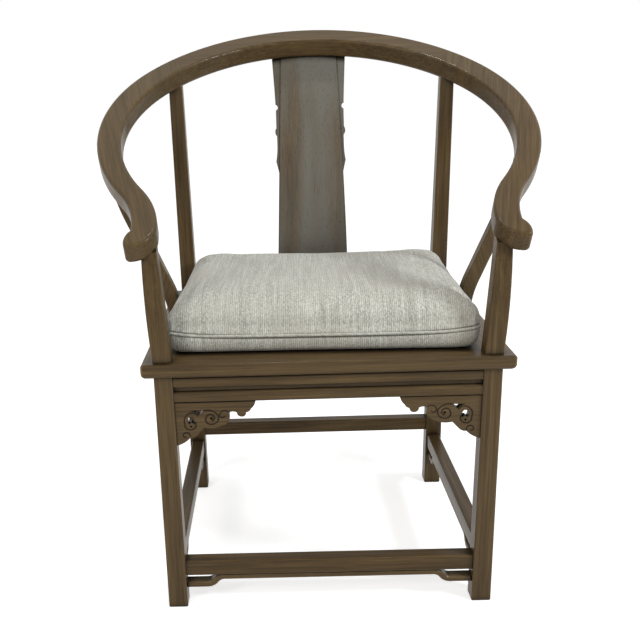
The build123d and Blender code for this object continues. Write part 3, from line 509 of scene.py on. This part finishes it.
# Shallow dents and rises that sitting has left in the top: middle, reaches, turn and height
DENTS = (
    ((0.218, -0.060), (0.050, 0.018), -1.0, 0.0026),
    ((0.180, -0.090), (0.060, 0.024), -1.0, -0.0030),
    ((0.236, -0.125), (0.040, 0.016), -0.8, -0.0030),
    ((0.236, -0.180), (0.040, 0.018), -0.8, 0.0022),
    ((0.225, 0.020), (0.045, 0.020), -0.9, -0.0028),
    ((0.040, 0.060), (0.130, 0.090), 0.3, -0.0022),
    ((-0.150, -0.050), (0.110, 0.100), -0.4, -0.0018),
)


def dented(points):
    """Height of all dents at each point: bell curves of the distance in ellipses turned by an angle."""
    height = np.zeros(len(points))
    for (x, y), (reach_x, reach_y), turn, depth in DENTS:
        along = (points[:, 0] - x) * math.cos(turn) + (points[:, 1] - y) * math.sin(turn)
        aside = (points[:, 1] - y) * math.cos(turn) - (points[:, 0] - x) * math.sin(turn)
        height += depth * np.exp(-((along / reach_x) ** 2) - (aside / reach_y) ** 2)
    return height


def fit_cover(piece):
    """Brings the swollen cover to the cushion's size, lays it flat on the seat and sits it in a little."""
    points, normals = read_points(piece.data)
    low, high = points.min(axis=0), points.max(axis=0)
    target_low, target_high = cushion_low - SPREAD, cushion_high + SPREAD
    seam = seam_height(points[:, 0])
    share = (points[:, :2] - low[:2]) / (high[:2] - low[:2])
    points[:, :2] = target_low[:2] + share * (target_high - target_low)[:2]
    lift = (points[:, 2] - seam) / (high[2] - seam)
    points[:, 2] = np.where(lift > 0, seam + lift * (target_high[2] - seam), points[:, 2])
    points[:, 2] += np.clip(normals[:, 2], 0, 1) * dented(points)
    points[:, 2] = np.maximum(points[:, 2], cushion_low[2] + UNDERSIDE_CLEAR)
    piece.data.vertices.foreach_set("co", points.reshape(-1))
    piece.data.update()


DARK_YARN = (0.325, 0.322, 0.275)
MID_YARN = (0.520, 0.517, 0.455)
PALE_YARN = (0.710, 0.708, 0.645)
HANDLED_YARN = (0.47, 0.43, 0.37)
BETWEEN_RIBS = (0.22, 0.20, 0.165)
# Painted shade in the seam's groove, above and below the welt cord
PAINTED_SHADE_BESIDE_WELT = (0.13, 0.12, 0.095)


def ribbed_cloth():
    """Cloth with fine ribs, and light and dark yarn in long streaks and short slubs along them.

    The attribute rib is the distance across the ribs, and place gives the length along them. The
    attribute off_seam is the height from the seam, where a shade lies on both sides of the cord.
    """
    material = bpy.data.materials.new("ribbed_cloth")
    material.use_nodes = True
    tree = material.node_tree
    shader = tree.nodes["Principled BSDF"]
    place = add_node(tree, "ShaderNodeTexCoord").outputs["Object"]
    parts = add_node(tree, "ShaderNodeSeparateXYZ", {0: place})
    rib = add_node(tree, "ShaderNodeAttribute", attribute_name="rib").outputs["Fac"]
    on_cloth = add_node(
        tree, "ShaderNodeCombineXYZ", {"X": rib, "Y": parts.outputs["Y"], "Z": parts.outputs["Z"]}
    ).outputs[0]
    long_threads = add_node(tree, "ShaderNodeMapping", {0: on_cloth}, Scale=(1.0, 0.05, 0.05)).outputs[0]
    short_threads = add_node(tree, "ShaderNodeMapping", {0: on_cloth}, Scale=(1.0, 0.5, 0.5)).outputs[0]
    streak = add_node(
        tree, "ShaderNodeTexNoise", {"Vector": long_threads}, Scale=190.0, Detail=3.0, Roughness=0.65
    ).outputs[0]
    slub = add_node(
        tree, "ShaderNodeTexNoise", {"Vector": short_threads}, Scale=520.0, Detail=2.0, Roughness=0.55
    ).outputs[0]
    ribs = add_node(
        tree, "ShaderNodeTexWave", {"Vector": on_cloth}, bands_direction="X", Scale=100.0, Distortion=0.8,
        Detail=1.0, **{"Detail Scale": 0.8},
    ).outputs["Fac"]
    speckle = remap(tree, slub, 0.0, 1.0, 0.0, 1.7)
    yarn_mix = add_node(tree, "ShaderNodeMath", {0: streak, 1: speckle}, operation="ADD").outputs[0]
    yarn = colour_ramp(
        tree, remap(tree, yarn_mix, 0.0, 2.7), (0.38, DARK_YARN), (0.5, MID_YARN), (0.62, PALE_YARN)
    )
    faded = add_node(tree, "ShaderNodeTexNoise", {"Vector": place}, Scale=9.0, Detail=2.0).outputs[0]
    tinted = mix_colour(tree, remap(tree, faded, 0.4, 0.65, 0.0, 0.4), yarn, HANDLED_YARN)
    shaded = mix_colour(tree, remap(tree, ribs, 0.45, 0.0, 0.0, 0.45), tinted, BETWEEN_RIBS)
    off_seam = add_node(tree, "ShaderNodeAttribute", attribute_name="off_seam").outputs["Fac"]
    distance = add_node(tree, "ShaderNodeMath", {0: off_seam}, operation="ABSOLUTE").outputs[0]
    # Painted shade: the cloth darkens on both sides of the welt cord
    seam_shaded = mix_colour(tree, remap(tree, distance, 0.0048, 0.0030, 0.0, 0.72), shaded, PAINTED_SHADE_BESIDE_WELT)
    tree.links.new(seam_shaded, shader.inputs["Base Color"])
    height = add_node(tree, "ShaderNodeMath", {0: ribs, 1: slub}, operation="ADD").outputs[0]
    bump = add_node(tree, "ShaderNodeBump", {"Height": height}, Strength=0.55, Distance=0.0009)
    tree.links.new(bump.outputs[0], shader.inputs["Normal"])
    shader.inputs["Roughness"].default_value = 0.92
    shader.inputs["Sheen Weight"].default_value = 0.2
    return material


cushion_cloth = ribbed_cloth()
cushion = filling()
close_up(cushion)
settle(cushion, ("even_quads", "REMESH", {"mode": "VOXEL", "voxel_size": VOXEL}))
swell(cushion)
settle(cushion, ("finer", "SUBSURF", {"levels": 1, "render_levels": 1}))
fit_cover(cushion)

# The seam: a welt cord covered in the same cloth, sewn in between the top and the lower band
WELT_RADIUS = 0.0024
WELT_SINK = 0.0012            # how far the cord's middle lies inside the cover
GROOVE_DEPTH = 0.0034
GROOVE_REACH = 0.0036
CLEAR_OF_SEAM = 0.01          # a distance at which the cloth isn't shaded by the seam


def seam_path(count=480, start_out=1.2, smoothings=4):
    """Places round the cover at the seam's height, found from outside it, and smoothed along the path.

    Rays start on the plan made larger, and run level towards the middle. Each smoothing gives a place
    half of itself and a quarter of each neighbour.
    """
    tree = BVHTree.FromObject(cushion, bpy.context.evaluated_depsgraph_get())
    plan_x, plan_y = cushion_plan(np.linspace(0, 2 * np.pi, count, endpoint=False))
    height = seam_height(cushion_middle[0] + plan_x)
    outside = np.stack(
        [cushion_middle[0] + start_out * plan_x, cushion_middle[1] + start_out * plan_y, height], axis=-1
    )
    inward = -np.stack([plan_x, plan_y, np.zeros(count)], axis=-1)
    path = np.array([tree.ray_cast(Vector(start), Vector(way))[0] for start, way in zip(outside, inward)])
    for _ in range(smoothings):
        path = (np.roll(path, 1, axis=0) + 2 * path + np.roll(path, -1, axis=0)) / 4
    return path + WELT_SINK * inward / np.linalg.norm(inward, axis=1, keepdims=True)


def sew_seam():
    """Draws the cover in on both sides of the cord, by a bell curve of the height from the seam."""
    points, normals = read_points(cushion.data)
    off_seam = (points[:, 2] - seam_height(points[:, 0])) / GROOVE_REACH
    points -= GROOVE_DEPTH * np.exp(-off_seam**2)[:, None] * normals
    cushion.data.vertices.foreach_set("co", points.reshape(-1))
    cushion.data.update()


def write_attribute(piece, name, values):
    """Stores one number for each point of a piece."""
    attribute = piece.data.attributes.new(name, "FLOAT", "POINT")
    attribute.data.foreach_set("value", values.reshape(-1).astype(np.float32))


def lay_ribs():
    """Writes each point's distance across the ribs, and its height from the seam.

    The ribs of the top run from front to back, and on over the sides, where the distance goes on down
    the side. Those of the lower band run upright, so there it goes along the side.
    """
    points, normals = read_points(cushion.data)
    sideways = np.clip((np.abs(normals[:, 0]) - 0.4) / 0.4, 0, 1)
    top = points[:, 0] + np.sign(points[:, 0]) * sideways * (cushion_high[2] - points[:, 2])
    band = points[:, 0] + sideways * (points[:, 1] - points[:, 0])
    off_seam = points[:, 2] - seam_height(points[:, 0])
    write_attribute(cushion, "rib", np.where(off_seam > 0, top, band))
    write_attribute(cushion, "off_seam", off_seam)


def welt_cord(path, around=12):
    """Cord along the seam: a circle carried round a closed path, its ribs wound on the bias."""
    ahead = np.roll(path, -1, axis=0) - np.roll(path, 1, axis=0)
    ahead /= np.linalg.norm(ahead, axis=1, keepdims=True)
    side = np.cross(ahead, (0.0, 0.0, 1.0))
    side /= np.linalg.norm(side, axis=1, keepdims=True)
    over = np.cross(side, ahead)
    angle = np.linspace(0, 2 * np.pi, around, endpoint=False)
    points = path[:, None] + WELT_RADIUS * (
        np.cos(angle)[None, :, None] * side[:, None] + np.sin(angle)[None, :, None] * over[:, None]
    )
    cord = grid_mesh("cushion_welt", points, close_rows=True, close_columns=True)
    length = np.cumsum(np.linalg.norm(path - np.roll(path, 1, axis=0), axis=1))
    write_attribute(cord, "rib", length[:, None] + WELT_RADIUS * np.sin(angle)[None, :])
    write_attribute(cord, "off_seam", np.full(len(cord.data.vertices), CLEAR_OF_SEAM))
    close_up(cord)
    return cord


def twist(piece):
    """Turns a piece about the cushion's upright middle line, in its mesh."""
    middle = Vector((cushion_middle[0], cushion_middle[1], 0.0))
    turned = Matrix.Translation(middle) @ Matrix.Rotation(TWIST, 4, "Z") @ Matrix.Translation(-middle)
    piece.data.transform(turned)


seam = seam_path()
sew_seam()
lay_ribs()
twist(cushion)
cushion.data.shade_smooth()
cushion.data.materials.append(cushion_cloth)
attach(cushion, "cushion")
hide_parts("seat_cushion")

welt = welt_cord(seam)
twist(welt)
welt.data.shade_smooth()
welt.data.materials.append(cushion_cloth)
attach(welt, "cushion")


# ================================================================ floor, lights and camera
# A plain white studio: one large sheet of floor, soft lamps and even light from all round.
AIR_LIGHT = 0.5               # strength of the even light on the chair
FLOOR_LIFT = 0.62             # white added to the floor where it is seen


def seen_directly(tree):
    """Factor that is 1 for camera, glossy and transmission rays, which see the white studio itself."""
    path = tree.nodes.new("ShaderNodeLightPath").outputs
    mirrored = add_node(
        tree, "ShaderNodeMath", {0: path["Is Glossy Ray"], 1: path["Is Transmission Ray"]}, operation="ADD"
    ).outputs[0]
    both = add_node(tree, "ShaderNodeMath", {0: path["Is Camera Ray"], 1: mirrored}, operation="ADD")
    both.use_clamp = True
    return both.outputs[0]


FLOOR_HALF = 12.0
floor = bpy.data.objects.new("studio_floor", bpy.data.meshes.new("studio_floor"))
floor.data.from_pydata(
    [(x * FLOOR_HALF, y * FLOOR_HALF, 0.0) for x, y in ((-1, -1), (1, -1), (1, 1), (-1, 1))],
    [], [(0, 1, 2, 3)],
)
floor_paper = bpy.data.materials.new("studio_paper")
floor_paper.use_nodes = True
paper = floor_paper.node_tree.nodes["Principled BSDF"]
paper.inputs["Base Color"].default_value = (0.85, 0.85, 0.85, 1.0)
paper.inputs["Roughness"].default_value = 0.95
paper.inputs["Emission Color"].default_value = (1.0, 1.0, 1.0, 1.0)
floor_paper.node_tree.links.new(
    remap(floor_paper.node_tree, seen_directly(floor_paper.node_tree), 0.0, 1.0, 0.0, FLOOR_LIFT),
    paper.inputs["Emission Strength"],
)
floor.data.materials.append(floor_paper)
bpy.context.collection.objects.link(floor)

world = bpy.data.worlds.new("studio_air")
world.use_nodes = True
air = world.node_tree.nodes["Background"]
air.inputs["Color"].default_value = (1.0, 1.0, 1.0, 1.0)
world.node_tree.links.new(
    remap(world.node_tree, seen_directly(world.node_tree), 0.0, 1.0, AIR_LIGHT, 1.0), air.inputs["Strength"]
)
bpy.context.scene.world = world
bpy.context.scene.view_settings.view_transform = "Standard"


def lamp(name, place, aim, size, power, colour=(1.0, 1.0, 1.0)):
    """Square area lamp that points at a place."""
    data = bpy.data.lights.new(name, "AREA")
    data.size = size
    data.energy = power
    data.color = colour
    light = bpy.data.objects.new(name, data)
    light.location = place
    light.rotation_mode = "QUATERNION"
    light.rotation_quaternion = (Vector(aim) - Vector(place)).to_track_quat("-Z", "Y")
    bpy.context.collection.objects.link(light)


CHAIR_MIDDLE = (0.0, 0.0, 0.5)
lamp("ceiling_lamp", (-0.10, 0.15, 2.5), CHAIR_MIDDLE, 0.10, 9.0)
lamp("fill_lamp", (-1.6, -2.2, 1.8), CHAIR_MIDDLE, 0.6, 19.0, (1.0, 0.97, 0.92))
lamp("window_lamp", (1.9, -1.3, 1.8), CHAIR_MIDDLE, 0.4, 34.0, (0.92, 0.97, 1.0))

STRETCHER_SET_BACK = 0.006    # how far the front stretcher lies behind the legs' front faces
front_leg_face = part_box("front_stretcher")[0][1] - STRETCHER_SET_BACK
CAMERA_PLACE = (-0.07985, front_leg_face - 1.30171, 0.88767)
CAMERA_YAW = -0.021
CAMERA_PITCH = 0.331
CAMERA_ROLL = 0.034
IMAGE_SIDE = 640.0
FOCAL_PIXELS = 850.0
OPTICAL_AXIS_X = 261.4
OPTICAL_AXIS_Y = 372.7
SENSOR = 36.0

forward = Vector((
    math.sin(CAMERA_YAW) * math.cos(CAMERA_PITCH),
    math.cos(CAMERA_YAW) * math.cos(CAMERA_PITCH),
    -math.sin(CAMERA_PITCH),
))
level = Vector((math.cos(CAMERA_YAW), -math.sin(CAMERA_YAW), 0.0))
down = forward.cross(level)
right = math.cos(CAMERA_ROLL) * level + math.sin(CAMERA_ROLL) * down
low = -math.sin(CAMERA_ROLL) * level + math.cos(CAMERA_ROLL) * down
camera_data = bpy.data.cameras.new("camera")
camera_data.sensor_width = SENSOR
camera_data.lens = FOCAL_PIXELS / IMAGE_SIDE * SENSOR
camera_data.shift_x = (IMAGE_SIDE / 2 - OPTICAL_AXIS_X) / IMAGE_SIDE
camera_data.shift_y = (OPTICAL_AXIS_Y - IMAGE_SIDE / 2) / IMAGE_SIDE
camera = bpy.data.objects.new("camera", camera_data)
camera.matrix_world = Matrix.Translation(CAMERA_PLACE) @ Matrix((right, -low, -forward)).transposed().to_4x4()
bpy.context.collection.objects.link(camera)
bpy.context.scene.camera = camera
